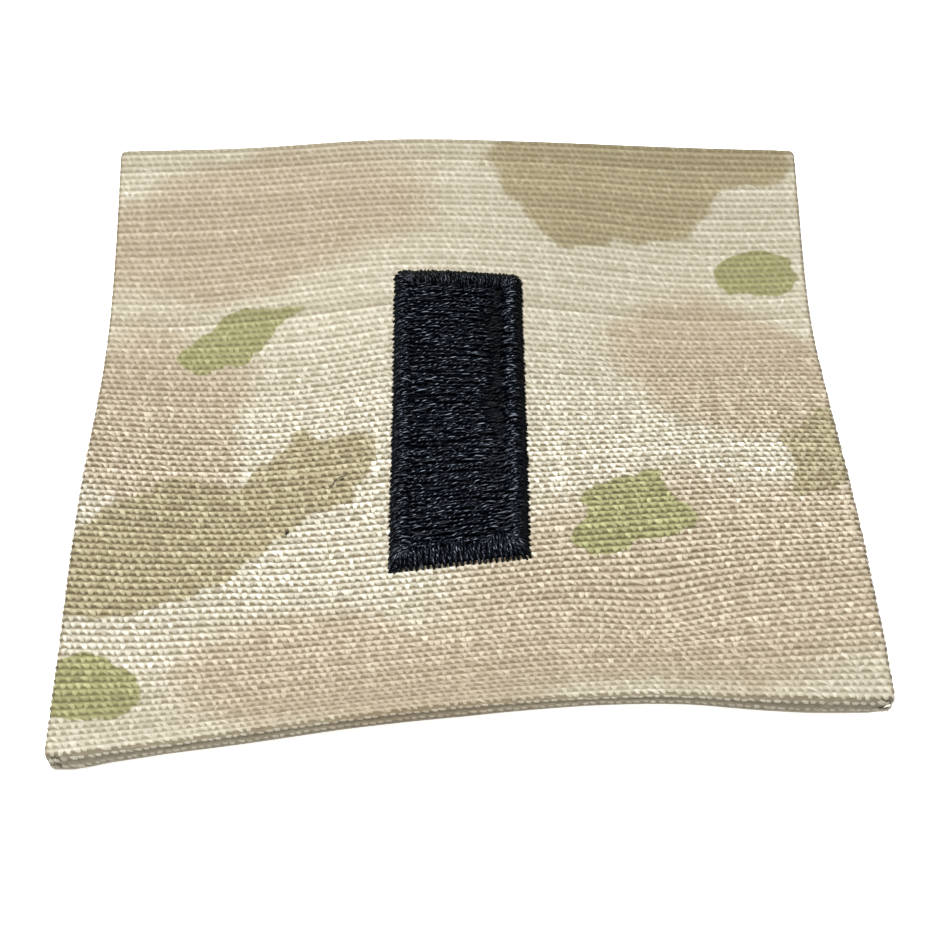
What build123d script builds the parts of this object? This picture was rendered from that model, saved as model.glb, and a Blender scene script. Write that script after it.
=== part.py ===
from build123d import *
import os

# Sew-on rank patch: a square of cloth whose four edges are folded under, with an
# embroidered bar in its middle. It lies on a table, lightly buckled, as it came out of
# its packet. Sizes are in millimetres, +Z is up and the front edge faces -Y.

# Cloth square, as it lies: it measures 50.8 each way when it is pressed flat
patch_width = 50.5
patch_depth = 50.1
face_thickness = 1.0
hem_thickness = 1.2
hem_width = 9.0
corner_radius = 1.0
fold_radius = 0.5

# Drape: how far the crests stand above the lowest place, and how much of the lowest
# places is pressed flat by what the patch lies on
lift = 5.4
press = 0.06

# How far the middle of each edge lies inside the line between its two corners, since
# cloth that climbs there keeps its length
front_bow = 0.5
back_bow = 0.05
left_bow = 0.1
right_bow = 0.1

# Embroidered bar: a flat fill with a raised satin frame round it
bar_width = 9.5
bar_length = 26.0
bar_right_of_middle = -0.1
bar_behind_middle = 0.35
border_width = 1.4
border_height = 0.75
fill_height = 0.5
stitch_corner = 0.35
thread_edge = 0.2
seat_gap = 0.1

# Drape of the face, a row for each section from the front edge to the back edge.
# "place" runs from -1 at the front edge to 1 at the back edge. The other columns are
# places across the square, and hold the face's height there in shares of the lift.
COLUMNS = {"left": -1.0, "left_third": -0.6, "left_middle": -0.2,
           "right_middle": 0.2, "right_third": 0.6, "right": 1.0}
SECTIONS = (
    # place, left, left_third, left_middle, right_middle, right_third, right
    (-1.00, 0.08, 0.37, 0.71, 0.95, 0.95, 0.82),
    (-0.75, 0.02, 0.05, 0.29, 0.55, 0.65, 0.79),
    (-0.35, 0.17, 0.03, 0.18, 0.39, 0.49, 0.54),
    (0.10, 0.12, 0.03, 0.28, 0.21, 0.15, 0.12),
    (0.40, 0.15, 0.21, 0.47, 0.30, 0.04, 0.03),
    (0.70, 0.44, 0.54, 0.64, 0.53, 0.29, 0.25),
    (1.00, 0.93, 0.94, 1.00, 0.92, 0.83, 0.67),
)

half_width = patch_width / 2
half_depth = patch_depth / 2
seat = hem_thickness - press
below = -2 * hem_thickness
reach = 2 * (lift + hem_thickness + border_height)


def section_line(heights, above):
    """Points across one section, at a distance above the face."""
    stations = zip(COLUMNS.values(), heights)
    return [(across * half_width, seat + lift * share + above) for across, share in stations]


def draped_layer(low, high):
    """The layer of the draped square that lies between two heights above its face."""
    with BuildPart() as layer:
        for place, *heights in SECTIONS:
            upper = section_line(heights, high)
            lower = section_line(heights, low)
            with BuildSketch(Plane.XZ.offset(-place * half_depth)):
                with BuildLine():
                    Spline(*upper)
                    Line(upper[-1], lower[-1])
                    Spline(*reversed(lower))
                    Line(lower[0], upper[0])
                make_face()
        loft()
    return layer.part


cloth_layer = draped_layer(-hem_thickness, 0)
recess_layer = draped_layer(-hem_thickness - reach, -face_thickness)
border_layer = draped_layer(seat_gap, seat_gap + border_height)
fill_layer = draped_layer(seat_gap, seat_gap + fill_height)

# The plain hollow under the face, inside the folded hem
with BuildPart() as recess:
    add(recess_layer)
    with BuildSketch(Plane.XY.offset(below)):
        RectangleRounded(patch_width - 2 * hem_width, patch_depth - 2 * hem_width, corner_radius)
    extrude(amount=reach, mode=Mode.INTERSECT)

# The cloth: one piece, cut to its outline, rounded along its folds, hollow under the
# face and pressed flat at the places that it lies on
with BuildPart() as ground_cloth:
    add(cloth_layer)
    with BuildSketch(Plane.XY.offset(below)):
        with BuildLine():
            front_left = (-half_width, -half_depth)
            front_right = (half_width, -half_depth)
            back_right = (half_width, half_depth)
            back_left = (-half_width, half_depth)
            ThreePointArc(front_left, (0, front_bow - half_depth), front_right)
            ThreePointArc(front_right, (half_width - right_bow, 0), back_right)
            ThreePointArc(back_right, (0, half_depth - back_bow), back_left)
            ThreePointArc(back_left, (left_bow - half_width, 0), front_left)
        make_face()
        fillet(vertices(), corner_radius)
    extrude(amount=reach, mode=Mode.INTERSECT)
    fillet(edges().filter_by(Axis.Z, reverse=True), fold_radius)
    add(recess.part, mode=Mode.SUBTRACT)
    split(bisect_by=Plane.XY, keep=Keep.TOP)

# The bar's raised frame of satin stitches
with BuildPart() as bar_border:
    add(border_layer)
    with BuildSketch(Plane.XY.offset(below)):
        with Locations((bar_right_of_middle, bar_behind_middle)):
            RectangleRounded(bar_width, bar_length, stitch_corner)
            Rectangle(bar_width - 2 * border_width, bar_length - 2 * border_width, mode=Mode.SUBTRACT)
    extrude(amount=reach, mode=Mode.INTERSECT)
    top_and_underside = faces().sort_by(SortBy.AREA)[-2:]
    chamfer(top_and_underside.sort_by(Axis.Z)[-1].edges(), thread_edge)

# The bar's middle, filled with rows of thread that run across it
fill_width = bar_width - 2 * (border_width + seat_gap)
fill_length = bar_length - 2 * (border_width + seat_gap)
with BuildPart() as bar_fill:
    add(fill_layer)
    with BuildSketch(Plane.XY.offset(below)):
        with Locations((bar_right_of_middle, bar_behind_middle)):
            Rectangle(fill_width, fill_length)
    extrude(amount=reach, mode=Mode.INTERSECT)

ground_cloth.part.label = "ground_cloth"
bar_border.part.label = "bar_border"
bar_fill.part.label = "bar_fill"

os.makedirs("parts", exist_ok=True)
export_step(ground_cloth.part, "parts/ground_cloth.step")
export_step(bar_border.part, "parts/bar_border.step")
export_step(bar_fill.part, "parts/bar_fill.step")
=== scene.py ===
import math

import bpy
import numpy as np
from mathutils import Matrix, Vector


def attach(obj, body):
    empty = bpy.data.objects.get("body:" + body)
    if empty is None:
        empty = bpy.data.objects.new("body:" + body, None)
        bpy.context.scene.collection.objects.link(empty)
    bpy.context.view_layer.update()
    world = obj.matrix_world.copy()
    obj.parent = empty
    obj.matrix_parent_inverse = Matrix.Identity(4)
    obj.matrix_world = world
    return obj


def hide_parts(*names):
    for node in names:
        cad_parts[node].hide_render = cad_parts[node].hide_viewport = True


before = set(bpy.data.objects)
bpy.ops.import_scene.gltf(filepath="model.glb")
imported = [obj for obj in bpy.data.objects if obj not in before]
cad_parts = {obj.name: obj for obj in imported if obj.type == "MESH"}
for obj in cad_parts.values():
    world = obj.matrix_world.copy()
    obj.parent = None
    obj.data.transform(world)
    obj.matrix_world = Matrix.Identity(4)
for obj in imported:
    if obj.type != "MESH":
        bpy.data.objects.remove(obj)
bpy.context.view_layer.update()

# The view, the table and the light
# The patch lies on a pale, matt table. The camera looks down at it from the front, from a
# short arm's length, and large soft lights stand behind it and to its left.

mm = 0.001
photo_width_px = 950
focal_length_px = 1873
sensor_mm = 36.0
look_at = Vector((0.92, -4.83, 2.75)) * mm
look_distance = 123.7 * mm
look_down = math.radians(49.9)
look_aside = math.radians(0.34)
look_roll = math.radians(-1.39)

camera_data = bpy.data.cameras.new("camera")
camera_data.sensor_width = sensor_mm
camera_data.lens = sensor_mm * focal_length_px / photo_width_px
camera_data.clip_start = 1 * mm
camera_data.clip_end = 5.0
camera = bpy.data.objects.new("camera", camera_data)
bpy.context.collection.objects.link(camera)
towards_camera = Vector((math.sin(look_aside) * math.cos(look_down),
                         -math.cos(look_aside) * math.cos(look_down),
                         math.sin(look_down)))
turned = towards_camera.to_track_quat("Z", "Y").to_matrix().to_4x4()
roll = Matrix.Rotation(look_roll, 4, "Z")
camera.matrix_world = Matrix.Translation(look_at + towards_camera * look_distance) @ turned @ roll
bpy.context.scene.camera = camera
bpy.context.scene.view_settings.view_transform = "Standard"


class Value:
    """A shader socket that can be added, subtracted and multiplied like a number."""

    def __init__(self, finish, socket):
        self.finish = finish
        self.socket = socket

    def maths(self, operation, *others, first=None):
        start = self if first is None else first
        inputs = dict(enumerate((start, *others)))
        return self.finish.node("ShaderNodeMath", {"operation": operation}, inputs)

    def __add__(self, other):
        return self.maths("ADD", other)

    def __radd__(self, other):
        return self.maths("ADD", other)

    def __sub__(self, other):
        return self.maths("SUBTRACT", other)

    def __rsub__(self, other):
        return self.maths("SUBTRACT", self, first=other)

    def __mul__(self, other):
        return self.maths("MULTIPLY", other)

    def __rmul__(self, other):
        return self.maths("MULTIPLY", other)

    def step(self, low, high):
        """0 below low and 1 above high, with a soft rise between them."""
        settings = {"interpolation_type": "SMOOTHSTEP"}
        inputs = {"Value": self, "From Min": low, "From Max": high}
        return self.finish.node("ShaderNodeMapRange", settings, inputs)


class Finish:
    """A material and the nodes that make it."""

    def __init__(self, name):
        self.material = bpy.data.materials.new(name)
        self.material.use_nodes = True
        self.tree = self.material.node_tree
        self.tree.nodes.clear()

    def node(self, kind, settings=None, inputs=None, output=0):
        """A node with its settings made first, then its sockets set or linked."""
        made = self.tree.nodes.new(kind)
        for name, setting in (settings or {}).items():
            setattr(made, name, setting)
        for name, value in (inputs or {}).items():
            if isinstance(value, Value):
                self.tree.links.new(value.socket, made.inputs[name])
            else:
                made.inputs[name].default_value = value
        return Value(self, made.outputs[output]) if made.outputs else None

    def vector_maths(self, operation, first, second):
        return self.node("ShaderNodeVectorMath", {"operation": operation}, {0: first, 1: second})

    def part_of(self, vector, axis):
        """One number of a vector."""
        return self.node("ShaderNodeSeparateXYZ", None, {"Vector": vector}, axis)

    def noise(self, place, scale, detail=2.0, stretch=(1, 1, 1), output=0):
        """Cloudy noise from 0 to 1, with so many waves a metre."""
        spread = self.vector_maths("MULTIPLY", place, stretch)
        inputs = {"Vector": spread, "Scale": scale, "Detail": detail}
        return self.node("ShaderNodeTexNoise", None, inputs, output)

    def mix(self, share, first, second, blend="MIX"):
        """A colour between two others."""
        settings = {"data_type": "RGBA", "blend_type": blend}
        return self.node("ShaderNodeMix", settings, {0: share, 6: first, 7: second}, output=2)

    def attribute(self, name, output="Vector"):
        return self.node("ShaderNodeAttribute", {"attribute_name": name}, output=output)

    def bump(self, height, depth, strength=1.0):
        inputs = {"Height": height, "Distance": depth, "Strength": strength}
        return self.node("ShaderNodeBump", None, inputs)

    def surface(self, inputs):
        """Ends the material in one Principled shader."""
        shader = self.node("ShaderNodeBsdfPrincipled", None, inputs)
        self.node("ShaderNodeOutputMaterial", None, {"Surface": shader})
        return self.material


def soft_light(name, place, size, watts, colour):
    """A square lamp at a place in metres, which shines at the middle of the table."""
    data = bpy.data.lights.new(name, "AREA")
    data.size = size
    data.energy = watts
    data.color = colour
    lamp = bpy.data.objects.new(name, data)
    bpy.context.collection.objects.link(lamp)
    lamp.location = place
    lamp.rotation_euler = Vector(place).to_track_quat("Z", "Y").to_euler()


soft_light("window", place=(-0.17, 0.05, 0.60), size=0.20, watts=9.5, colour=(1.0, 0.985, 0.96))
soft_light("ceiling", place=(0.05, 0.0, 0.9), size=0.9, watts=2.6, colour=(0.97, 0.98, 1.0))

world = bpy.data.worlds.new("room")
world.use_nodes = True
background = world.node_tree.nodes["Background"]
background.inputs["Color"].default_value = (0.9, 0.95, 1.0, 1)
background.inputs["Strength"].default_value = 0.20
bpy.context.scene.world = world

table_reach = 1.2
table_corners = [(-table_reach, -table_reach, 0), (table_reach, -table_reach, 0),
                 (table_reach, table_reach, 0), (-table_reach, table_reach, 0)]
table_mesh = bpy.data.meshes.new("table")
table_mesh.from_pydata(table_corners, [], [(0, 1, 2, 3)])
table_top = Finish("table")
table_mesh.materials.append(table_top.surface({
    "Base Color": (0.90, 0.90, 0.90, 1),
    "Roughness": 0.9,
    "Emission Color": (1.0, 1.0, 1.0, 1),
    "Emission Strength": 0.84,
}))
table = bpy.data.objects.new("table", table_mesh)
bpy.context.collection.objects.link(table)

# The lie of the cloth
# The patch was pressed and embroidered flat, and lies buckled: a wide trough runs across it
# and its front and back edges climb. Its places keep their distances along the cloth.

flat_side = 50.8 * mm
half = flat_side / 2
lift = 5.4 * mm
press = 0.06 * mm
hem_thickness = 1.2 * mm
plan_skew = 0.14 * mm
groove_place = -22.6 * mm
groove_width = 0.9 * mm
groove_depth = 0.10 * mm
ACROSS = (-1.0, -0.6, -0.2, 0.2, 0.6, 1.0)
SECTIONS = np.array((
    # place from front to back, then the heights at each place across in shares of the lift
    (-1.00, 0.08, 0.37, 0.71, 0.95, 0.95, 0.82),
    (-0.75, 0.02, 0.05, 0.29, 0.55, 0.65, 0.79),
    (-0.35, 0.17, 0.03, 0.18, 0.39, 0.49, 0.54),
    (0.10, 0.12, 0.03, 0.28, 0.21, 0.15, 0.12),
    (0.40, 0.15, 0.21, 0.47, 0.30, 0.04, 0.03),
    (0.70, 0.44, 0.54, 0.64, 0.53, 0.29, 0.25),
    (1.00, 0.93, 0.94, 1.00, 0.92, 0.83, 0.67),
))
WAVES = (
    # small waves: across mm, along mm, radius mm, height mm
    (12.0, -17.5, 3.8, -0.42),
    (18.5, -14.0, 4.0, 0.15),
    (-12.0, 5.0, 5.0, -0.30),
    (-14.0, 14.0, 5.0, -0.10),
)


def smooth_weights(places, at):
    """How much each of the places counts for a smooth curve through them all, at others."""
    places = np.asarray(places)
    at = np.asarray(at)
    gaps = np.diff(places)
    count = len(places)
    stiffness = np.eye(count)
    pull = np.zeros((count, count))
    for i in range(1, count - 1):
        stiffness[i, i - 1:i + 2] = gaps[i - 1], 2 * (gaps[i - 1] + gaps[i]), gaps[i]
        pull[i, i - 1:i + 2] = 6 / gaps[i - 1], -6 / gaps[i - 1] - 6 / gaps[i], 6 / gaps[i]
    bend = np.linalg.solve(stiffness, pull)
    span = np.clip(np.searchsorted(places, at) - 1, 0, count - 2)
    gap = gaps[span]
    on = ((at - places[span]) / gap)[:, None]
    back = 1 - on
    each = np.eye(count)
    curve = ((back ** 3 - back) * bend[span] + (on ** 3 - on) * bend[span + 1]) * gap[:, None] ** 2 / 6
    return back * each[span] + on * each[span + 1] + curve


def face_height(u, v):
    """Height of the face above the table at places on the flat square, in metres."""
    across = smooth_weights(ACROSS, np.clip(u / half, -1, 1))
    along = smooth_weights(SECTIONS[:, 0], np.clip(v / half, -1, 1))
    height = hem_thickness - press + lift * np.einsum("pi,ij,pj->p", along, SECTIONS[:, 1:], across)
    height = height - groove_depth * np.exp(-((v - groove_place) / groove_width) ** 2)
    for middle_u, middle_v, radius, rise in WAVES:
        away = np.hypot(u / mm - middle_u, v / mm - middle_v) / radius
        height = height + rise * mm * np.exp(-away ** 2)
    return height


def plan_of_cloth(steps=240):
    """Where the places of a fine grid on the flat square lie in plan, since a slope is shorter
    in plan than along the cloth."""
    line = np.linspace(-half, half, steps + 1)
    u, v = np.meshgrid(line, line, indexing="ij")
    z = face_height(u.ravel(), v.ravel()).reshape(u.shape)
    step = line[1] - line[0]
    run_u = np.sqrt(step ** 2 - np.diff(z, axis=0) ** 2)
    run_v = np.sqrt(step ** 2 - np.diff(z, axis=1) ** 2)
    x = np.vstack([np.zeros((1, steps + 1)), np.cumsum(run_u, axis=0)])
    y = np.hstack([np.zeros((steps + 1, 1)), np.cumsum(run_v, axis=1)])
    x -= x[steps // 2]
    y -= y[:, [steps // 2]]
    x -= (x.min() + x.max()) / 2
    y -= (y.min() + y.max()) / 2
    return line, x + plan_skew * v / half, y


plan_line, plan_x, plan_y = plan_of_cloth()


def on_face(u, v):
    """The points of the buckled face for places on the flat square."""
    last = len(plan_line) - 1
    at_u = np.clip((u + half) / flat_side * last, 0, last)
    at_v = np.clip((v + half) / flat_side * last, 0, last)
    i = np.minimum(at_u.astype(int), last - 1)
    j = np.minimum(at_v.astype(int), last - 1)
    s = at_u - i
    t = at_v - j
    points = []
    for grid in (plan_x, plan_y):
        front = grid[i, j] * (1 - s) + grid[i + 1, j] * s
        back = grid[i, j + 1] * (1 - s) + grid[i + 1, j + 1] * s
        points.append(front * (1 - t) + back * t)
    return np.stack([*points, face_height(u, v)], axis=1)


def unit(vectors):
    return vectors / np.maximum(np.linalg.norm(vectors, axis=1, keepdims=True), 1e-12)


def face_directions(u, v):
    """Directions across, along and out of the face."""
    nudge = 0.25 * mm
    left = np.clip(u - nudge, -half, half)
    right = np.clip(u + nudge, -half, half)
    front = np.clip(v - nudge, -half, half)
    back = np.clip(v + nudge, -half, half)
    across = unit(on_face(right, v) - on_face(left, v))
    along = unit(on_face(u, back) - on_face(u, front))
    return across, along, unit(np.cross(across, along))


# The cloth: weft ribs and folded hem
# One square of plain-woven ripstop, with thick weft yarns that make fine ribs from left to
# right. Its four edges are folded under, mitred at the corners and pressed to two layers.

row_pitch = 0.497 * mm
rows_from_back = 6
rows_between_ripstops = 13
rib_height = 0.19 * mm
cloth_thickness = 0.45 * mm
corner_radius = 0.6 * mm
fold_width = 0.30 * mm
fold_depth = hem_thickness / 2
hem_width = 9.0 * mm
core = half - corner_radius
rim = corner_radius - fold_width

# The fold's section, from the face round to the flap, with its places by their length along it
crease = 0.62
fold_turns = np.linspace(0, math.pi, 181)
fold_out = fold_width * np.maximum(np.sin(fold_turns), 0) ** crease
fold_sink = -fold_depth * np.sign(np.cos(fold_turns)) * np.abs(np.cos(fold_turns)) ** crease
fold_along = np.concatenate([(0.0,), np.cumsum(np.hypot(np.diff(fold_out), np.diff(fold_sink)))])
fold_length = float(fold_along[-1])

wander_height = 0.05 * mm
straight_margin = 2.5 * mm
PULLS = (
    # where the rows are pulled out of line: across mm, along mm, radius mm, pull mm
    (12.0, -17.5, 3.6, -0.50),
    (-8.5, 6.0, 5.5, -0.55),
    (-15.5, -13.5, 4.0, 0.32),
    (-21.0, 12.0, 5.0, -0.28),
    (20.0, 1.0, 5.5, 0.30),
    (9.0, 19.0, 5.0, 0.25),
)


def row_wander(u, v):
    """How far the weft rows stray from straight lines. They are straight along the folds."""
    slow = np.sin(u / (7.1 * mm) + v / (11 * mm)) + 0.6 * np.sin(u / (3.3 * mm) - v / (5 * mm) + 1)
    slow = wander_height * slow
    for across, along, radius, pull in PULLS:
        away = np.hypot(u / mm - across, v / mm - along) / radius
        slow = slow + pull * mm * np.exp(-away ** 2)
    return slow * np.clip((half - np.abs(v)) / straight_margin - 0.15, 0, 1)


def pulled(u, v):
    """Where the places of straight rows lie, once the rows are out of line."""
    moved = v
    for _ in range(4):
        moved = v + row_wander(u, moved)
    return moved


FRONT_HEM = np.array((
    # place across the front edge, and how much thinner than elsewhere the hem is there in mm
    (-1.00, -0.50), (-0.92, -0.38), (-0.84, -0.02), (-0.70, 0.20), (-0.50, 0.20), (-0.27, 0.28),
    (0.00, 0.25), (0.30, 0.42), (0.55, 0.34), (0.70, 0.02), (0.80, -0.16), (1.00, -0.24),
))


def front_thinning(u, v):
    """How much thinner the front hem is than the others. It is pressed thin in the middle and
    thick in the corners, where four layers meet."""
    front = np.clip((-v / half - 0.6) / 0.4, 0, 1)
    return front * np.interp(u / half, FRONT_HEM[:, 0], FRONT_HEM[:, 1]) * mm


def fold_round(u, v, above):
    """Points on the folded cloth for places on the flat cut, a height off its outer side.
    A place past the fold's line goes round the fold."""
    core_u = np.clip(u, -core, core)
    core_v = np.clip(v, -core, core)
    out = np.hypot(u - core_u, v - core_v)
    safe = np.maximum(out, 1e-9)
    way_u = (u - core_u) / safe
    way_v = (v - core_v) / safe
    depth = fold_depth - front_thinning(u, v) / 2
    turn = np.interp(out - rim, fold_along, fold_turns)
    sine = np.maximum(np.sin(turn), 0)
    cosine = np.abs(np.cos(turn))
    side = np.sign(np.cos(turn))
    reach = np.minimum(out, rim) + fold_width * sine ** crease
    sink = depth * (1 - side * cosine ** crease)
    lean_out = sine ** (2 - crease) / fold_width
    lean_up = side * cosine ** (2 - crease) / depth
    size = np.hypot(lean_out, lean_up)
    place_u = core_u + way_u * reach
    place_v = core_v + way_v * reach
    across, along, up = face_directions(place_u, place_v)
    outward = across * way_u[:, None] + along * way_v[:, None]
    points = on_face(place_u, place_v)
    points += up * (above * lean_up / size - sink)[:, None]
    points += outward * (above * lean_out / size)[:, None]
    return points


def rows_in(u, v):
    """How many weft rows lie between the back edge and a place."""
    return (half - v + row_wander(u, v)) / row_pitch


def rib(u, v):
    """Height of the weft ribs: 1 on a yarn and 0 between two. A ripstop is a full double row."""
    rows = rows_in(u, v)
    single = np.abs(np.sin(rows * math.pi)) ** 0.75
    from_ripstop = (rows - rows_from_back + rows_between_ripstops / 2) % rows_between_ripstops
    double = np.exp(-((from_ripstop - rows_between_ripstops / 2) / 0.38) ** 4)
    return single * (1 + 0.06 * double) + (1 - single) * 0.5 * double


def fullness(v):
    """How full the weave stands. It is pressed flattest at the back, and a little at the front."""
    at = (-1.06, -1.01, -0.85, -0.50, -0.10, 0.20, 0.45, 1.0)
    return np.interp(v / half, at, (0.80, 0.38, 0.53, 0.78, 0.80, 0.49, 0.26, 0.16))


def relief(v):
    """Height from a crest to a valley of the weave."""
    return rib_height * np.maximum(fullness(v), 0.3)


def row_shade(u, v):
    """Painted shade across a row, round the mean: lightest behind its crest and darkest on its front
    slope, where shade falls.
    """
    across_row = (0.0, 0.08, 0.52, 0.66, 0.80, 0.92, 1.0)
    return np.interp(rows_in(u, v) % 1, across_row, (0.10, 0.60, 0.52, -0.48, -0.76, -0.36, 0.10))


row_tones = np.random.default_rng(8).normal(1, 0.065, 300)
rows_before_back = 50


def row_tone(u, v):
    """How pale the yarn of a row is, since no two yarns take the dye alike."""
    row = np.floor(rows_in(u, v)).astype(int)
    return row_tones[row + rows_before_back]


def rounded(a, b):
    """Moves a square's places in its corners onto a rounded square."""
    inner = half - fold_width - rim
    past_a = np.maximum(np.abs(a) - inner, 0) / rim
    past_b = np.maximum(np.abs(b) - inner, 0) / rim
    round_a = rim * past_a * np.sqrt(1 - past_b ** 2 / 2)
    round_b = rim * past_b * np.sqrt(1 - past_a ** 2 / 2)
    return (np.sign(a) * (np.minimum(np.abs(a), inner) + round_a),
            np.sign(b) * (np.minimum(np.abs(b), inner) + round_b))


table_gap = 0.01 * mm


def lies_on_table(points):
    """Cloth is pressed flat where it meets the table."""
    points[:, 2] = np.maximum(points[:, 2], table_gap)
    return points


def grid_faces(shape):
    """The points along the edge of a grid, in order, and its squares."""
    index = np.arange(shape[0] * shape[1]).reshape(shape)
    edge = np.concatenate([index[:-1, 0], index[-1, :-1], index[:0:-1, -1], index[0, :0:-1]])
    squares = np.stack([index[:-1, :-1], index[1:, :-1], index[1:, 1:], index[:-1, 1:]], axis=-1)
    return edge, squares.reshape(-1, 4)


def make_piece(name, points, faces, facts, bake_map, finishes, finish_of_face=None):
    """A smooth mesh object with its facts for each point, its bake map and its materials."""
    mesh = bpy.data.meshes.new(name)
    mesh.from_pydata(points.tolist(), [], faces)
    for fact, values in facts.items():
        layer = mesh.attributes.new(fact, "FLOAT_VECTOR", "POINT")
        layer.data.foreach_set("vector", np.ascontiguousarray(values, dtype=np.float32).ravel())
    corners = np.empty(len(mesh.loops), dtype=np.int32)
    mesh.loops.foreach_get("vertex_index", corners)
    layer = mesh.uv_layers.new(name="OFBake")
    layer.uv.foreach_set("vector", bake_map[corners].astype(np.float32).ravel())
    for finish in finishes:
        mesh.materials.append(finish)
    if finish_of_face is not None:
        mesh.polygons.foreach_set("material_index", finish_of_face)
    mesh.shade_smooth()
    mesh.update()
    piece = bpy.data.objects.new(name, mesh)
    bpy.context.collection.objects.link(piece)
    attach(piece, "root")
    return piece


def face_grid():
    """The face's places on the flat cut, the points along its edge and its squares. Each weft
    row has six lines of points, which follow it where it is pulled."""
    columns = 42
    rows_each = 6
    lines = int(round((flat_side - 2 * fold_width) / row_pitch * rows_each))
    a = np.linspace(-1, 1, columns + 1) * (half - fold_width)
    b = np.linspace(-1, 1, lines + 1) * (half - fold_width)
    grid_a, grid_b = np.meshgrid(a, b, indexing="ij")
    u, v = rounded(grid_a.ravel(), grid_b.ravel())
    return u, pulled(u, v), *grid_faces(grid_a.shape)


grid_u, grid_v, grid_edge, grid_squares = face_grid()
edge_u = grid_u[grid_edge]
edge_v = grid_v[grid_edge]
edge_core_u = np.clip(edge_u, -core, core)
edge_core_v = np.clip(edge_v, -core, core)
edge_out = np.hypot(edge_u - edge_core_u, edge_v - edge_core_v)
edge_way_u = (edge_u - edge_core_u) / edge_out
edge_way_v = (edge_v - edge_core_v) / edge_out


def past_fold(u, v):
    """How far round the fold a place is: 0 where it starts and 1 where it ends."""
    out = np.hypot(u - np.clip(u, -core, core), v - np.clip(v, -core, core))
    return (out - rim) / fold_length


def rib_height_at(u, v):
    return relief(v) * (rib(u, v) - 1) * np.interp(past_fold(u, v), (0.0, 0.3), (1.0, 0.45))


def out_from_core(out):
    """Places on the flat cut all round it, so far out from its core."""
    return edge_core_u + edge_way_u * out, edge_core_v + edge_way_v * out


def under_the_face(inward, depth):
    """A ring under the cloth, so far in from the outline and so deep below the face."""
    inner = half - inward
    u, v = np.clip(out_from_core(max(corner_radius - inward, 0)), -inner, inner)
    up = face_directions(u, v)[2]
    thinner = front_thinning(u, v) * (depth > cloth_thickness)
    return on_face(u, v) - up * (depth - thinner)[:, None]


top_points = fold_round(grid_u, grid_v, rib_height_at(grid_u, grid_v))
ring_points = []
ring_flat = []
fold_steps = 16
for step in range(1, fold_steps + 1):
    u, v = out_from_core(rim + fold_length * step / fold_steps)
    ring_points.append(fold_round(u, v, rib_height_at(u, v)))
    ring_flat.append(np.stack([u, v], axis=1))

flap_in = np.array([0.08, 0.25, 0.5, 0.75, 1.0]) * hem_width
for inward in flap_in:
    u, v = out_from_core(rim + fold_length + inward)
    ring_points.append(under_the_face(fold_width + inward, hem_thickness))
    ring_flat.append(np.stack([u, v], axis=1))
outer_rings = len(ring_points)

flap_inside = hem_thickness - cloth_thickness
inner_fold = cloth_thickness + fold_width / 2
for inward in flap_in[::-1]:
    ring_points.append(under_the_face(inner_fold + inward * (1 - inner_fold / hem_width), flap_inside))
for turn in np.linspace(0, math.pi, 4):
    depth = (flap_inside + cloth_thickness) / 2 + (flap_inside - cloth_thickness) / 2 * math.cos(turn)
    inward = inner_fold - fold_width / 2 * math.sin(turn)
    ring_points.append(under_the_face(inward, depth))
inner_rings = len(ring_points) - outer_rings

inner_scale = (half - inner_fold) / (half - fold_width)
inner_places = (grid_u * inner_scale, grid_v * inner_scale)
inside_points = on_face(*inner_places) - face_directions(*inner_places)[2] * cloth_thickness

edge_count = len(grid_edge)
grid_count = len(grid_u)
inner_start = grid_count + edge_count * outer_rings
inside_start = grid_count + edge_count * len(ring_points)
cloth_points = lies_on_table(np.concatenate([top_points, *ring_points, inside_points]))

chain = [grid_edge]
chain += [grid_count + edge_count * k + np.arange(edge_count) for k in range(len(ring_points))]
chain += [inside_start + grid_edge]
bands = []
for near, far in zip(chain[:-1], chain[1:]):
    bands.append(np.stack([near, far, np.roll(far, -1), np.roll(near, -1)], axis=1))
band_faces = np.concatenate(bands)
inside_faces = inside_start + grid_squares[:, ::-1]
cloth_faces = np.concatenate([grid_squares, band_faces, inside_faces])

outer_count = len(grid_squares) + edge_count * outer_rings
finish_of_face = np.ones(len(cloth_faces), dtype=np.int32)
finish_of_face[:outer_count] = 0

face_flat = np.stack([grid_u, grid_v], axis=1)
edge_flat = np.stack([edge_u, edge_v], axis=1)
flat_place = np.zeros((len(cloth_points), 3))
flat_place[:grid_count, :2] = face_flat
flat_place[grid_count:inner_start, :2] = np.concatenate(ring_flat)
flat_place[inner_start:inside_start, :2] = np.tile(edge_flat, (inner_rings, 1))
flat_place[inside_start:, :2] = face_flat

# The bake map: the printed side fills most of it, and the inner side has a corner
print_reach = half + fold_length + hem_width
outer_share = 0.84
inner_middle = 0.92
inner_share = 0.12
bake_map = 0.5 * outer_share + flat_place[:, :2] / (2 * print_reach) * outer_share
bake_map[inner_start:] = inner_middle + flat_place[inner_start:, :2] / (2 * half) * inner_share

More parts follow.
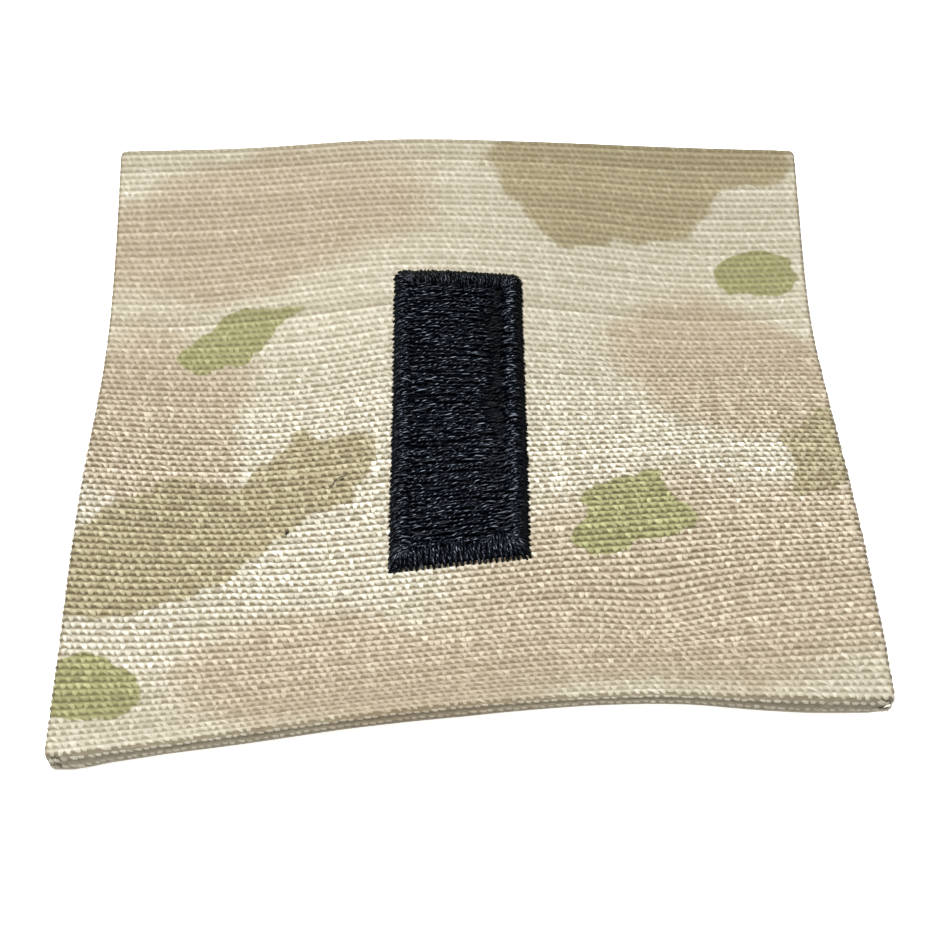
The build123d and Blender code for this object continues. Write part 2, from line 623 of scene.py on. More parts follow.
# The print: a generic camouflage of four colours. Soft tan clouds lie on pale sand, with
# olive patches and small green spots over them. Patches are ovals: middle, size and turn.
SAND = (0.362, 0.346, 0.288, 1)
TAN = (0.299, 0.259, 0.195, 1)
OLIVE = (0.234, 0.208, 0.126, 1)
GREEN = (0.198, 0.198, 0.087, 1)
TAN_PATCHES = (
    # across mm, along mm, half length mm, half width mm, turned degrees
    (15.0, -15.0, 17.0, 9.0, 8),
    (19.0, 5.0, 9.0, 6.0, -30),
    (-15.0, 19.0, 13.0, 6.0, 12),
    (-6.0, -21.0, 12.0, 5.0, -6),
    (-21.0, 2.0, 6.0, 9.0, 10),
)
OLIVE_PATCHES = (
    (-19.0, -9.0, 9.5, 4.4, 24),
    (-11.0, -4.5, 6.0, 3.0, 40),
    (9.5, 21.5, 8.0, 4.2, -14),
    (16.5, 24.5, 8.5, 4.5, 6),
    (24.0, -4.0, 4.5, 2.6, 65),
)
GREEN_SPOTS = (
    (-14.5, 9.5, 3.6, 2.2, 20),
    (-17.5, 8.0, 2.4, 1.7, -10),
    (12.0, -8.5, 3.9, 2.0, -18),
    (9.4, -10.0, 2.1, 1.8, 10),
    (21.5, 14.5, 2.6, 2.1, 35),
    (-23.5, -20.5, 3.2, 2.0, -25),
)
outline_waves = 170
outline_bend = 7 * mm


def patches(finish, place, table, soft):
    """How far inside the table's patches a place lies, from 0 to 1."""
    nearest = None
    for across, along, half_length, half_width, turned in table:
        inputs = {
            "Vector": place,
            "Location": (across * mm, along * mm, 0),
            "Rotation": (0, 0, math.radians(turned)),
            "Scale": (half_length * mm, half_width * mm, 1),
        }
        local = finish.node("ShaderNodeMapping", {"vector_type": "TEXTURE"}, inputs)
        size = finish.node("ShaderNodeVectorMath", {"operation": "LENGTH"}, {0: local}, output="Value")
        nearest = size if nearest is None else nearest.maths("SMOOTH_MIN", size, 0.25)
    return 1 - nearest.step(1 - soft, 1 + soft)


def printed_colour(finish, place):
    """The print's colour at a place on the flat cut. Noise bends the outlines of the patches."""
    stray = finish.noise(place, outline_waves, detail=3.0, output="Color")
    centred = finish.vector_maths("SUBTRACT", stray, (0.5, 0.5, 0.5))
    offset = finish.vector_maths("MULTIPLY", centred, (outline_bend, outline_bend, 0))
    bent = finish.vector_maths("ADD", place, offset)
    flat = finish.vector_maths("MULTIPLY", bent, (1, 1, 0))
    cloth = finish.mix(patches(finish, flat, TAN_PATCHES, soft=0.22), SAND, TAN)
    cloth = finish.mix(patches(finish, flat, OLIVE_PATCHES, soft=0.06), cloth, OLIVE)
    return finish.mix(patches(finish, flat, GREEN_SPOTS, soft=0.05), cloth, GREEN)


def dyed(finish, colour, tone, browner=0.0):
    """The colour, lighter or darker by a tone round 1, and as much browner where it is dark."""
    red = tone.maths("POWER", 1 - 0.8 * browner)
    blue = tone.maths("POWER", 1 + 1.8 * browner)
    shade = finish.node("ShaderNodeCombineXYZ", None, {"X": red, "Y": tone, "Z": blue})
    return finish.mix(1.0, colour, shade, "MULTIPLY")


def weft_finish():
    """Printed weft yarn, with painted shade down between the rows and round the fold, and fine fibres
    along it.
    """
    finish = Finish("weft_yarn")
    place = finish.attribute("flat")
    yarn = finish.attribute("yarn")
    fold_shade_and_row_dye = finish.part_of(yarn, "X")
    rise = finish.part_of(yarn, "Y")
    full = finish.part_of(yarn, "Z")
    fibres = finish.noise(place, 9000, stretch=(0.5, 1, 1))
    streaks = finish.noise(place, 1900, stretch=(0.10, 1, 1))
    cells = finish.noise(place, 2700, detail=1.0)
    # The painted row shade, broken up by cells of random tone
    tone_and_painted_shade = (rise + (cells - 0.5) * full * 0.9).maths("MAXIMUM", 0.0)
    grain = (1 + (fibres - 0.5) * full * 0.7) * (0.90 + streaks * 0.20)
    tone = fold_shade_and_row_dye * (0.06 + tone_and_painted_shade * 0.65) * grain
    colour = dyed(finish, printed_colour(finish, place), tone, browner=0.13)
    return finish.surface({
        "Base Color": colour,
        "Roughness": 0.9,
        "Sheen Weight": 0.15,
        "Normal": finish.bump(fibres, 0.03 * mm, strength=0.5),
    })


def cloth_back_finish():
    """The cloth's unprinted inner side."""
    finish = Finish("cloth_back")
    place = finish.attribute("flat")
    weave = finish.noise(place, 2600, detail=1.0, stretch=(1, 0.8, 1))
    colour = finish.mix(weave, (0.62, 0.56, 0.43, 1), (0.70, 0.65, 0.52, 1))
    return finish.surface({
        "Base Color": colour,
        "Roughness": 0.9,
        "Normal": finish.bump(weave, 0.08 * mm, strength=0.6),
    })


# The painted shade round the fold and on each row's front slope, how pale each row's dye is, and how
# coarse the fibres are at each place
flat_u, flat_v = flat_place[:, :2].T
round_fold = past_fold(flat_u, flat_v)
# Painted shade round the fold, darkest just past its start, times each row's own dye tone
fold_shade_and_row_dye = np.interp(round_fold, (0.0, 0.10, 0.30, 1.0), (1.0, 0.46, 0.45, 0.56))
fold_shade_and_row_dye = fold_shade_and_row_dye * row_tone(flat_u, flat_v)
# Painted shade on each row's front slope and painted light behind its crest, weaker where the weave is
# pressed flat
shade = 0.73 + row_shade(flat_u, flat_v) * np.maximum(fullness(flat_v), 0.28)
coarse = fullness(flat_v) * np.interp(round_fold, (0.0, 0.2), (1.0, 1.8))
cloth_facts = {"flat": flat_place, "yarn": np.stack([fold_shade_and_row_dye, shade, coarse], axis=1)}
cloth_finishes = [weft_finish(), cloth_back_finish()]
cloth = make_piece("cloth", cloth_points, cloth_faces.tolist(), cloth_facts, bake_map,
                   cloth_finishes, finish_of_face)

# The cloth: warp floats
# The finer warp yarns run from front to back in twos, and each pair shows as a short round
# float where it passes over a weft yarn. Every twelfth pair is a thicker ripstop yarn.

float_pitch = 0.50 * mm
float_half_width = 0.165 * mm
float_half_length = 0.285 * mm
float_height = 0.120 * mm
float_lean_degrees = 17
pair_stray = 0.026 * mm
stray_across = 0.046 * mm
stray_along = 0.030 * mm
pairs_between_ripstops = 12
first_ripstop_pair = 47
ripstop_swell = 0.30
bar_middle = (-0.1 * mm, 0.36 * mm)
bar_width = 9.5 * mm
bar_length = 26.0 * mm
FLOAT_POINTS = np.array((
    # across, along and up, in shares of the float's own size, and the painted light there: light on
    # top, painted shade on the skirts
    (0.0, -0.50, 0.85, 0.84), (0.0, 0.05, 0.90, 0.88), (0.0, 0.50, 0.50, 0.74),
    (-0.60, -0.45, 0.90, 1.00), (-0.86, 0.30, 0.85, 1.06),
    (0.60, -0.50, 0.90, 1.00), (0.86, 0.26, 0.85, 1.06),
    (-0.86, -0.66, -0.1, 0.0), (-1.30, 0.36, 0.0, 0.42), (0.0, 0.95, -0.5, 0.50),
    (1.30, 0.32, 0.0, 0.42), (0.82, -0.74, -0.1, 0.0), (0.0, -1.15, -0.5, 0.0),
))
FLOAT_FACES = np.array((
    (0, 5, 1), (5, 6, 1), (6, 2, 1), (2, 4, 1), (4, 3, 1), (3, 0, 1),
    (7, 3, 8), (8, 3, 4), (8, 4, 9), (9, 4, 2), (9, 2, 6), (9, 6, 10),
    (10, 6, 11), (11, 6, 5), (11, 5, 12), (12, 5, 0), (12, 0, 3), (12, 3, 7),
))


def make_floats(name, wanted, finish, seed):
    """The floats of every row whose places on the flat cut are wanted."""
    random = np.random.default_rng(seed)
    past = half - fold_width + fold_length
    first_row = -int(fold_length / row_pitch) - 1
    rows = np.arange(first_row, int(2 * past / row_pitch) + 1)
    pairs = np.arange(-int(past / float_pitch) - 1, int(past / float_pitch) + 2)
    row, pair = np.meshgrid(rows, pairs, indexing="ij")
    row = row.ravel()
    pair = pair.ravel()
    pair_shift = np.random.default_rng(5).normal(0, pair_stray, 400)
    u = (pair + 0.5 * (row % 2)) * float_pitch + pair_shift[pair + 150]
    v = pulled(u, half - (row + 0.5) * row_pitch)
    keep = wanted(u, v)
    u, v, row, pair = u[keep], v[keep], row[keep], pair[keep]
    count = len(u)
    ripstop_pair = (pair + first_ripstop_pair) % pairs_between_ripstops == 0
    thicker = 1 + ripstop_swell * ripstop_pair
    wide = float_half_width * thicker * random.normal(1, 0.11, count)
    long = float_half_length * random.normal(1, 0.07, count)
    long = long * np.interp(past_fold(u, v), (0.0, 0.12), (1.0, 0.62))
    high = float_height * thicker * random.normal(1, 0.22, count)
    high = high * fullness(v) * np.clip(fullness(v) * 1.8, 0, 1)
    high = high * np.interp(past_fold(u, v), (0.0, 0.15, 0.5), (1.0, 0.85, 0.65))
    lean = np.tan(np.radians(random.normal(float_lean_degrees, 15, count)))
    u = u + random.normal(0, stray_across, count)
    v = v + random.normal(0, stray_along, count)
    across = FLOAT_POINTS[None, :, 0] * wide[:, None]
    along = FLOAT_POINTS[None, :, 1] * long[:, None]
    place_u = (u[:, None] + across - along * lean[:, None]).ravel()
    place_v = (v[:, None] + along).ravel()
    above = (FLOAT_POINTS[None, :, 2] * high[:, None]).ravel()
    above = above + relief(place_v) * (rib(place_u, place_v) - 1)
    points = fold_round(place_u, place_v, above)
    points_each = len(FLOAT_POINTS)
    faces = (FLOAT_FACES[None] + points_each * np.arange(count)[:, None, None]).reshape(-1, 3)
    tone_and_painted_shade = 1 + random.normal(0, 0.14, count) * (0.4 + 0.6 * fullness(v)) + 0.03 * ripstop_pair
    # Painted shade on the floats round the fold
    tone_and_painted_shade = tone_and_painted_shade * np.interp(past_fold(u, v), (0.0, 0.10, 0.32, 0.55), (1.0, 0.80, 0.76, 0.60))
    tone_and_painted_shade = tone_and_painted_shade * row_tone(u, v)
    tone = np.repeat(tone_and_painted_shade, points_each)
    full = fullness(place_v)
    # Painted light on each float: light on its top, painted shade on its skirts, and the painted row
    # shade where the weave is pressed flat
    flattest = 0.43
    rise = np.tile(FLOAT_POINTS[:, 3], count) - flattest
    rise = flattest + rise * full * np.clip(full * 1.8, 0, 1)
    rise = rise + row_shade(place_u, place_v) * 0.19 * (1 - full)
    flat = np.stack([place_u, place_v, np.zeros_like(place_u)], axis=1)
    facts = {"flat": flat, "yarn": np.stack([tone, rise, full], axis=1)}
    bake = 0.5 + flat[:, :2] / (2 * (half + fold_length))
    return make_piece(name, lies_on_table(points), faces.tolist(), facts, bake, [finish])


def warp_finish():
    """Printed warp yarn: each float has its own tone, has painted light on top and painted shade where
    it dips, and shows the twist of its fibres."""
    finish = Finish("warp_yarn")
    place = finish.attribute("flat")
    yarn = finish.attribute("yarn")
    tone = finish.part_of(yarn, "X")
    rise = finish.part_of(yarn, "Y")
    full = finish.part_of(yarn, "Z")
    turn = (0, 0, math.radians(28))
    twist = finish.node("ShaderNodeMapping", None, {"Vector": place, "Rotation": turn})
    fibres = finish.noise(twist, 11000, stretch=(1, 0.22, 1))
    dirt = finish.noise(place, 420, detail=3.0)
    streaks = finish.noise(place, 1900, stretch=(0.10, 1, 1))
    grain = (1 + (fibres - 0.5) * full * 0.9) * (0.94 + dirt * 0.10) * (0.92 + streaks * 0.16)
    # rise carries each float's painted light and painted shade
    tones = tone * (0.11 + rise * 1.16) * grain
    return finish.surface({
        "Base Color": dyed(finish, printed_colour(finish, place), tones, browner=0.13),
        "Roughness": 0.72,
        "Sheen Weight": 0.25,
        "Sheen Roughness": 0.4,
        "Normal": finish.bump(fibres, 0.02 * mm, strength=0.6),
    })


def bare_face(u, v):
    """Whether places lie on the face, outside the bar."""
    hidden = 0.35 * mm
    beside = np.abs(u - bar_middle[0]) > bar_width / 2 - hidden
    beyond = np.abs(v - bar_middle[1]) > bar_length / 2 - hidden
    return (past_fold(u, v) <= 0) & (beside | beyond)


def in_the_fold(u, v):
    """Whether places lie on a fold, where it can be seen."""
    return (past_fold(u, v) > 0) & (past_fold(u, v) < 0.80)


warp_yarn = warp_finish()
face_floats = make_floats("warp_floats", bare_face, warp_yarn, seed=21)
fold_floats = make_floats("fold_floats", in_the_fold, warp_yarn, seed=22)

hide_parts("ground_cloth")

# The bar: underlay
# Dark stitches that the machine lays down first. They pad the bar out, so its border stands
# higher than its middle, and hide the cloth between the threads above them.

border_width = 1.6 * mm
front_border = 2.1 * mm
border_height = 0.62 * mm
fill_height = 0.30 * mm
threads_above = 0.26 * mm
bed_height = 0.10 * mm
underlay_lift = 0.02 * mm
underlay_sunk = 0.20 * mm


def from_bar_edge(u, v):
    """How far inside the bar's outline places lie."""
    in_u = bar_width / 2 - np.abs(u - bar_middle[0])
    in_v = bar_length / 2 - np.abs(v - bar_middle[1])
    return np.minimum(in_u, in_v)


def padding(u, v):
    """Height of the underlay: a swell under the border and a low bed inside it."""
    inside = np.clip(from_bar_edge(u, v) / border_width, 0, 1)
    swell = np.sin(np.clip(inside * 1.12, 0, 1) * math.pi) ** 0.7
    bed = np.clip((inside - 0.7) / 0.3, 0, 1)
    return np.maximum(swell * (border_height - threads_above), bed * bed_height) + underlay_lift


def underlay_finish():
    finish = Finish("underlay_thread")
    place = finish.attribute("flat")
    strands = finish.noise(place, 5200, stretch=(0.3, 1, 1))
    return finish.surface({
        "Base Color": (0.0016, 0.0020, 0.0032, 1),
        "Roughness": 0.9,
        "Specular IOR Level": 0.04,
        "Normal": finish.bump(strands, 0.06 * mm, strength=0.8),
    })


def padding_piece():
    """A closed low cushion, a little inside the bar's outline."""
    side_inset = 0.28 * mm
    front_inset = 0.45 * mm
    a = np.linspace(side_inset - bar_width / 2, bar_width / 2 - side_inset, 41)
    b = np.linspace(front_inset - bar_length / 2, bar_length / 2 - side_inset, 109)
    grid_a, grid_b = np.meshgrid(a, b, indexing="ij")
    near_end = np.clip((grid_b - bar_length / 2) / mm + 1.3, 0, 1)
    grid_a = grid_a * (1 - 0.12 * near_end ** 2)
    u = bar_middle[0] + grid_a.ravel()
    v = bar_middle[1] + grid_b.ravel()
    up = face_directions(u, v)[2]
    base = on_face(u, v)
    top = base + up * padding(u, v)[:, None]
    bottom = base - up * underlay_sunk
    edge, squares = grid_faces(grid_a.shape)
    wall = np.stack([edge, edge + len(u), np.roll(edge, -1) + len(u), np.roll(edge, -1)], axis=1)
    faces = np.concatenate([squares, squares[:, ::-1] + len(u), wall])
    flat = np.stack([np.tile(u, 2), np.tile(v, 2), np.zeros(2 * len(u))], axis=1)
    bake = 0.5 + flat[:, :2] / (1.1 * bar_length)
    return make_piece("stitch_underlay", np.concatenate([top, bottom]), faces.tolist(),
                      {"flat": flat}, bake, [underlay_finish()])


underlay = padding_piece()

# The bar: fill stitches
# Rows of shiny two-ply thread run from side to side. Each row is made of long stitches that
# dive into the cloth at both ends, and neighbouring rows dive at other places.

thread_side = 0.132 * mm
thread_up = 0.120 * mm
ply_share = 0.56
twist_length = 1.15 * mm
loose_ply = 0.030 * mm
pinched_end = 0.55
thread_dark = (0.0010, 0.0017, 0.0036, 1)
# The colour of the painted glints on the threads' crests
thread_painted_glint = (0.180, 0.208, 0.250, 1)


def make_threads(name, paths, finish, seed, sides=5, size=1.0, plies=2):
    """Twisted threads along paths. A path has places on the flat square, heights off the face
    and how much painted light each place has, which sets its painted glints and painted shade."""
    random = np.random.default_rng(seed)
    count, steps = paths.shape[:2]
    painted_light = paths[..., 3]
    u = paths[..., 0].ravel()
    v = paths[..., 1].ravel()
    up = face_directions(u, v)[2].reshape(count, steps, 3)
    middle = on_face(u, v).reshape(count, steps, 3) + up * paths[..., 2:3]
    ahead = np.gradient(middle, axis=1)
    ahead /= np.linalg.norm(ahead, axis=2, keepdims=True)
    aside = np.cross(ahead, up)
    aside /= np.linalg.norm(aside, axis=2, keepdims=True)
    over = np.cross(aside, ahead)
    stretch = np.linalg.norm(np.diff(middle, axis=1), axis=2)
    travelled = np.concatenate([np.zeros((count, 1)), np.cumsum(stretch, axis=1)], axis=1)
    phase = random.uniform(0, 2 * math.pi, (count, 1))
    lay = twist_length * size * random.normal(1, 0.25, (count, 1))
    waver = 0.9 * np.sin(travelled / (0.30 * mm) + random.uniform(0, 6.3, (count, 1)))
    vertices = []
    faces = []
    yarn_facts = []
    per_ply = steps * sides + 2
    around = np.arange(sides) / sides * 2 * math.pi
    thin = np.ones(steps)
    thin[[0, -1]] = pinched_end
    for ply in range(plies):
        angle = phase + 2 * math.pi * travelled / lay + waver + 2 * math.pi * ply / plies
        loose = np.sin(travelled / (0.21 * mm) + random.uniform(0, 6.3, (count, 1)))
        stray = np.sin(travelled / (0.34 * mm) + random.uniform(0, 6.3, (count, 1)))
        loose = loose * thin * loose_ply * size
        stray = stray * thin * loose_ply * size
        off = (1 - ply_share) if plies > 1 else 0.0
        centre = middle + aside * (np.cos(angle) * thread_side * size * off * 0.85 + stray)[..., None]
        centre += over * (np.sin(angle) * thread_up * size * off * 1.15 + loose)[..., None]
        ring_side = np.cos(around)[None, None] * thread_side * size * ply_share * thin[None, :, None]
        ring_up = np.sin(around)[None, None] * thread_up * size * ply_share * thin[None, :, None] * 1.1
        rings = (centre[:, :, None] + aside[:, :, None] * ring_side[..., None]
                 + over[:, :, None] * ring_up[..., None])
        tube = np.concatenate([rings.reshape(count, -1, 3), centre[:, :1], centre[:, -1:]], axis=1)
        start = per_ply * (ply * count + np.arange(count))
        ring = np.arange(steps - 1)[:, None] * sides
        side = np.arange(sides)[None]
        next_side = (side + 1) % sides
        ahead_ring = ring + sides
        quads = np.stack([ring + side, ring + next_side, ahead_ring + next_side, ahead_ring + side],
                         axis=-1).reshape(-1, 4)
        tip = np.full(sides, steps * sides)
        end = (steps - 1) * sides
        first = np.stack([tip, next_side[0], side[0]], axis=1)
        last = np.stack([tip + 1, end + side[0], end + next_side[0]], axis=1)
        for shape in (quads, first, last):
            faces += (shape[None] + start[:, None, None]).reshape(-1, shape.shape[1]).tolist()
        vertices.append(tube.reshape(-1, 3))
        along = np.repeat(travelled, sides, axis=1)
        along = np.concatenate([along, travelled[:, :1], travelled[:, -1:]], axis=1)
        # Each place's painted light, with a random tone for each thread
        tone = np.repeat(painted_light, sides, axis=1)
        tone = np.concatenate([tone, painted_light[:, :1], painted_light[:, -1:]], axis=1)
        tone = tone * random.normal(1, 0.15, (count, 1))
        # Where painted glints go: along the top of each ply where it lies uppermost
        on_top = np.clip(np.sin(angle), 0, 1) if plies > 1 else np.ones_like(angle)
        crest = np.clip(np.sin(around), 0, 1)[None, None] * on_top[..., None]
        crest = np.concatenate([crest.reshape(count, -1), np.zeros((count, 2))], axis=1)
        along = along / mm + random.uniform(0, 90, (count, 1))
        yarn_facts.append(np.stack([tone.ravel(), along.ravel(), crest.ravel()], axis=1))
    flat = paths[..., :3] * (1, 1, 0)
    flat = np.concatenate([np.repeat(flat, sides, axis=1), flat[:, :1], flat[:, -1:]], axis=1)
    flat = np.tile(flat.reshape(-1, 3), (plies, 1))
    facts = {"flat": flat, "yarn": np.concatenate(yarn_facts)}
    bake = 0.5 + flat[:, :2] / (1.1 * bar_length)
    return make_piece(name, np.concatenate(vertices), faces, facts, bake, [finish])


def thread_finish(name, colour, glint_colour, roughness):
    """Shiny spun thread, with fine fibres that lie along it, painted glints along the crests of its
    plies, and painted shade where its painted light is low.
    """
    finish = Finish(name)
    place = finish.attribute("flat")
    yarn = finish.attribute("yarn")
    tone = finish.part_of(yarn, "X")
    crest = finish.part_of(yarn, "Z")
    fibres = finish.noise(yarn, 1.0, stretch=(0, 1.3, 0.3))
    fine = finish.noise(place, 16000)
    blotches = finish.noise(place, 900)
    # Painted glints: short patchy streaks on the tops of the plies, as strong as the painted light
    # there
    painted_glint = fibres.step(0.40, 0.60) * crest.step(0.50, 0.92) * tone * (0.25 + blotches * 0.9)
    dark = dyed(finish, colour, tone * (0.5 + fibres))
    return finish.surface({
        "Base Color": finish.mix(painted_glint, dark, glint_colour),
        "Roughness": roughness + fine * 0.20 + (1 - tone.step(0.0, 0.9)) * 0.15,
        "Specular IOR Level": 0.11,
        "Specular Tint": (0.80, 0.90, 1.0, 1),
        "Normal": finish.bump(fine, 0.03 * mm, strength=0.7),
    })


def fill_paths():
    """The rows' stitches. On the right they sag, since the needle pulled them down, and have painted
    shade and few painted glints there.
    """
    random = np.random.default_rng(31)
    row_gap = 0.295 * mm
    stitch = 3.4 * mm
    steps = 30
    deepest_sag = 0.17 * mm
    needle_depth = 0.10 * mm
    reach_u = bar_width / 2 - border_width + 0.35 * mm
    low_v = bar_middle[1] - bar_length / 2 + front_border - 0.3 * mm
    high_v = bar_middle[1] + bar_length / 2 - border_width + 0.3 * mm
    rows = np.arange(low_v, high_v, row_gap)
    along = np.linspace(0, 1, steps)
    paths = []
    for number, row in enumerate(rows):
        offset = ((number * 0.37) % 1.0 - 1) * stitch
        holes = np.arange(-reach_u + offset, reach_u + stitch, stitch) + random.normal(0, 0.10, 1) * mm
        holes = np.clip(holes, -reach_u, reach_u)
        for left, right in zip(holes[:-1], holes[1:]):
            if right - left < 0.5 * mm:
                continue
            u = bar_middle[0] + left + (right - left) * along
            bend = np.sin(along * math.pi) * random.normal(0, 0.05) * mm
            bend += np.sin(along * 2 * math.pi + random.uniform(0, 6)) * random.normal(0, 0.022) * mm
            v = row + random.normal(0, 0.030) * mm + bend
            arch = np.minimum(1, np.sin(along * math.pi) * 3.2) ** 0.8
            from_sag = (u - bar_middle[0]) / (0.7 * mm) - 2.4
            sag = np.clip(from_sag + 0.5 * math.sin(row / (1.1 * mm)), 0, 1)
            sag = sag * np.interp(row / mm, (-10, -5, 0), (0.2, 0.5, 1.0))
            crown = fill_height + random.normal(0, 0.04) * mm - deepest_sag * sag
            height = arch * crown - (1 - arch) * needle_depth
            # Painted shade where the stitches sag
            painted_light = 1 - 0.93 * sag
            paths.append(np.stack([u, v, height, painted_light], axis=1))
    return np.array(paths)


fill_thread = thread_finish("fill_thread", thread_dark, thread_painted_glint, roughness=0.12)
fill_stitches = make_threads("fill_stitches", fill_paths(), fill_thread, seed=32)
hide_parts("bar_fill")

# The bar: satin border
# A zigzag of the same thread runs round the bar. It crosses the border in narrow V shapes
# that share a needle hole at each tip, and fans out round the corners.


def satin_paths():
    """The zigzag's threads, side by side round the bar."""
    random = np.random.default_rng(41)
    steps = 15
    back_round = 0.60 * mm
    front_round = 0.15 * mm
    needle_inset = 0.1 * mm
    side_tuck = 0.07 * mm
    half_u = bar_width / 2 - needle_inset - side_tuck
    half_v = bar_length / 2 - needle_inset
    along = np.linspace(0, 1, steps)
    sides = (
        # start corner, direction along the side, direction inwards, side length, stitch length,
        # mm between tips, mm that the inner ends stray, and painted light outside and on the crest
        ((-half_u, -half_v), (1, 0), (0, 1), 2 * half_u, front_border, 0.37, 0.32, 0.9, 1.0),
        ((half_u, -half_v), (0, 1), (-1, 0), 2 * half_v, border_width, 0.38, 0.12, 0.05, 1.2),
        ((half_u, half_v), (-1, 0), (0, -1), 2 * half_u, border_width, 0.27, 0.08, 0.03, 0.35),
        ((-half_u, half_v), (0, -1), (1, 0), 2 * half_v, border_width, 0.38, 0.12, 0.55, 1.0),
    )
    end_margin = 0.85 * border_width
    paths = []
    for start, way, inwards, length, deep, tip_gap, uneven, outside, crest in sides:
        start, way, inwards = np.array((start, way, inwards))
        tips = int(round(length / (tip_gap * mm)))
        for half_step in range(2 * tips):
            ends = []
            for corner in (half_step, half_step + 1):
                travelled = (corner / 2) / tips * length
                if corner % 2 == 0:
                    at_front = (start + way * travelled)[1] < 0
                    corner_round = front_round if at_front else back_round
                    past = max(corner_round - min(travelled, length - travelled), 0)
                    inward = corner_round - math.sqrt(corner_round ** 2 - past ** 2)
                    inward = inward + random.normal(0, 0.035) * mm
                else:
                    travelled = np.clip(travelled, end_margin, length - end_margin)
                    inward = deep + random.normal(0, 1) * uneven * mm
                travelled = travelled + random.normal(0, 0.02) * mm
                ends.append(start + way * travelled + inwards * inward)
            if half_step % 2:
                ends.reverse()
            outer_end, inner_end = ends
            run = (inner_end - outer_end)[:, None] * along
            u, v = (bar_middle + outer_end)[:, None] + run
            steep, full = (1.0, 0.75) if deep == front_border else (1.3, 0.62)
            arch = np.sin(along ** steep * math.pi).clip(0, 1) ** full
            peak = border_height + random.normal(0, 0.04) * mm
            height = arch * peak - 0.06 * mm
            # Painted light along a stitch: as listed outside, brightest on the crest, low at the inner
            # end
            painted_light_at = (0.0, 0.30, 0.52, 0.75, 1.0)
            painted_light = np.interp(along, painted_light_at, (outside, outside, crest, 0.8 * crest, 0.3))
            paths.append(np.stack([u, v, height, painted_light], axis=1))
    return np.array(paths)


satin_thread = thread_finish("border_thread", thread_dark, thread_painted_glint, roughness=0.13)
satin_stitches = make_threads("satin_stitches", satin_paths(), satin_thread, seed=42)
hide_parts("bar_border")

# The melted thread end
# The end of the thread that holds the hem was melted off at the front right corner. It
# is stuck to the fold there, as a small glossy bent bead.

MELTED_END = (
    # across, along, off the cloth and thickness, all in mm
    (24.72, -25.80, 0.02, 0.025),
    (24.76, -25.70, 0.07, 0.035),
    (24.84, -25.60, 0.11, 0.042),
    (24.94, -25.55, 0.12, 0.062),
    (25.03, -25.56, 0.10, 0.072),
    (25.09, -25.61, 0.05, 0.050),
)


def melted_end(sides=8):
    """A round bent bead along the table's places."""
    u, v, above, thick = np.array(MELTED_END).T * mm
    middle = fold_round(u, v, above)
    ahead = unit(np.gradient(middle, axis=0))
    aside = unit(np.cross(ahead, (0.0, 0.0, 1.0)))
    over = np.cross(aside, ahead)
    around = np.arange(sides) / sides * 2 * math.pi
    ring = aside[:, None] * np.cos(around)[:, None] + over[:, None] * np.sin(around)[:, None]
    points = (middle[:, None] + ring * thick[:, None, None]).reshape(-1, 3)
    faces = [list(range(sides))[::-1], list(range(len(points) - sides, len(points)))]
    for first in range(0, len(points) - sides, sides):
        for side in range(sides):
            after = (side + 1) % sides
            faces.append([first + side, first + after, first + sides + after, first + sides + side])
    finish = Finish("melted_thread")
    flat = np.repeat(np.stack([u, v, np.zeros_like(u)], axis=1), sides, axis=0)
    blotches = finish.noise(finish.attribute("flat"), 9000, detail=1.0)
    colour = finish.mix(blotches, (0.42, 0.40, 0.33, 1), (0.62, 0.60, 0.52, 1))
    skin = finish.surface({"Base Color": colour, "Roughness": 0.15 + blotches * 0.1})
    bake_along = np.repeat(np.linspace(0, 1, len(u)), sides)
    bake = np.stack([bake_along, np.tile(around / 7, len(u))], axis=1)
    return make_piece("melted_end", points, faces, {"flat": flat}, bake, [skin])


melted_end()

# Loose fibres
# Fine hairs stand out of the thread and of the cloth's edges, where they are rubbed up. Left
# of the bar, a speck of dark lint and one short dark hair hold on to the weave.

speck_middle = (-11.43 * mm, -8.66 * mm)
among_floats = 0.12 * mm
among_stitches = 0.35 * mm


def hair_paths(count, places, seed, length, lift_off):
    """Short bent hairs that start at random ones of the places."""
    random = np.random.default_rng(seed)
    steps = 5
    along = np.linspace(0, 1, steps)
    start_u, start_v, start_height = places(random, count)
    turn = random.uniform(0, 2 * math.pi, count)
    bend = random.normal(0, 1.4, count)
    size = length * random.uniform(0.4, 1.3, count)
    way = turn[:, None] + bend[:, None] * along[None]
    u = start_u[:, None] + size[:, None] * along[None] * np.cos(way)
    v = start_v[:, None] + size[:, None] * along[None] * np.sin(way)
    rise = lift_off * random.uniform(0.3, 1.2, count)
    height = start_height + rise[:, None] * np.sin(along * math.pi * 0.7)[None]
    # Hairs have full painted light all along
    return np.stack([u, v, height, np.ones_like(u)], axis=2)


def on_the_bar(random, count):
    u = bar_middle[0] + random.uniform(-0.5, 0.5, count) * bar_width * 0.97
    v = bar_middle[1] + random.uniform(-0.5, 0.5, count) * bar_length * 0.99
    return u, v, among_stitches


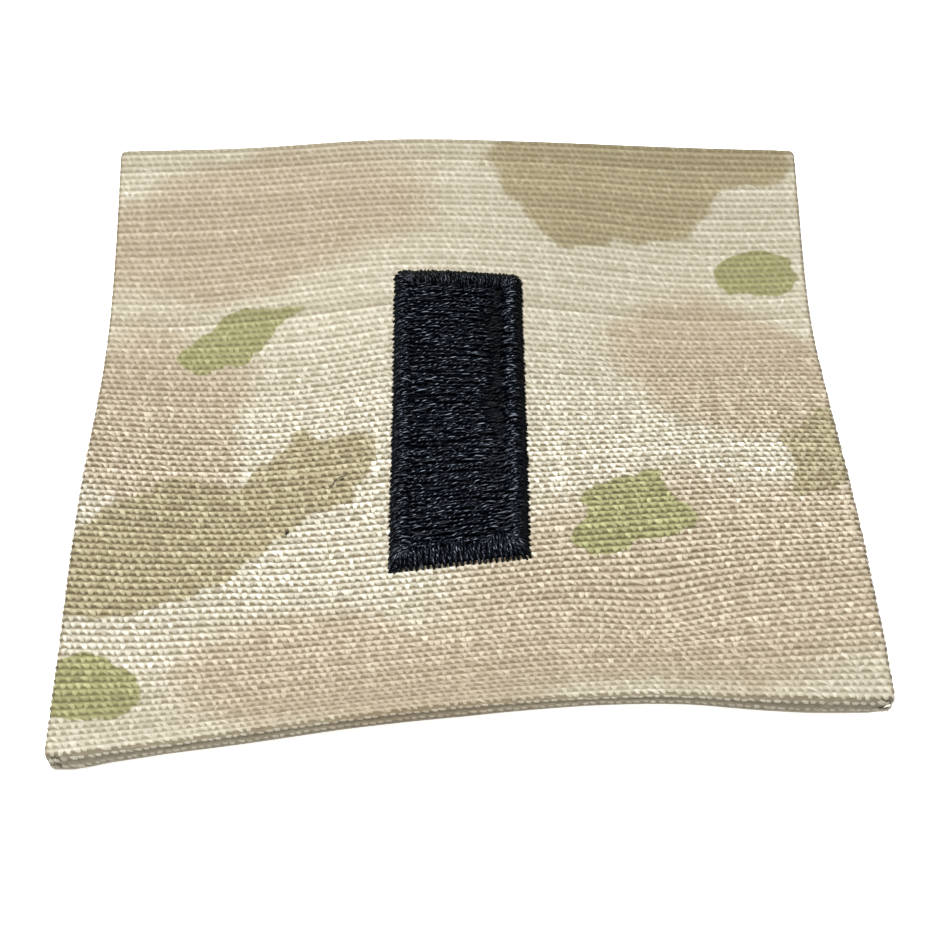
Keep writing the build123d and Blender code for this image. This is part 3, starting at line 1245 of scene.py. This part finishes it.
def at_the_edges(random, count):
    side = random.integers(0, 4, count)
    along = random.uniform(-1, 1, count) * core
    inset = 0.2 * mm
    out = (half - inset) * np.where(side < 2, -1, 1)
    u = np.where(side % 2 == 0, out, along)
    v = np.where(side % 2 == 0, along, out)
    return u, v, 0.0


def at_the_speck(random, count):
    u = speck_middle[0] + random.normal(0, 0.035, count) * mm
    v = speck_middle[1] + random.normal(0, 0.030, count) * mm
    return u, v, among_floats


# A fibre finish's second colour is its painted glint
dark_fibre = thread_finish("dark_fibre", colour=(0.03, 0.033, 0.042, 1),
                           glint_colour=(0.06, 0.066, 0.084, 1), roughness=0.4)
bar_paths = hair_paths(420, on_the_bar, seed=51, length=0.8 * mm, lift_off=0.22 * mm)
bar_hairs = make_threads("bar_fibres", bar_paths, dark_fibre, seed=52, sides=3, size=0.07, plies=1)

pale_fibre = thread_finish("pale_fibre", colour=(0.5, 0.44, 0.31, 1),
                           glint_colour=(0.6, 0.52, 0.36, 1), roughness=0.6)
edge_paths = hair_paths(260, at_the_edges, seed=53, length=0.6 * mm, lift_off=0.15 * mm)
cloth_hairs = make_threads("cloth_fibres", edge_paths, pale_fibre, seed=54, sides=3, size=0.06,
                           plies=1)

lint_fibre = thread_finish("lint_fibre", colour=(0.006, 0.005, 0.004, 1),
                           glint_colour=(0.014, 0.012, 0.01, 1), roughness=0.6)
lint_paths = hair_paths(24, at_the_speck, seed=55, length=0.14 * mm, lift_off=0.05 * mm)
lint = make_threads("lint", lint_paths, lint_fibre, seed=56, sides=3, size=0.26, plies=1)

STRAY_HAIR = (
    # across mm, along mm, off the cloth mm, painted light
    (-8.80, -5.25, 0.06, 1.0),
    (-8.60, -4.95, 0.15, 1.0),
    (-8.35, -4.60, 0.17, 1.0),
    (-8.10, -4.40, 0.17, 1.0),
    (-7.80, -4.25, 0.16, 1.0),
    (-7.60, -4.15, 0.05, 1.0),
)
# Its second colour is the hair's painted glint
dark_hair = thread_finish("dark_hair", colour=(0.03, 0.026, 0.02, 1),
                          glint_colour=(0.06, 0.05, 0.04, 1), roughness=0.5)
stray_path = np.array([STRAY_HAIR]) * (mm, mm, mm, 1.0)
stray_hair = make_threads("stray_hair", stray_path, dark_hair, seed=57, size=0.42, plies=1)
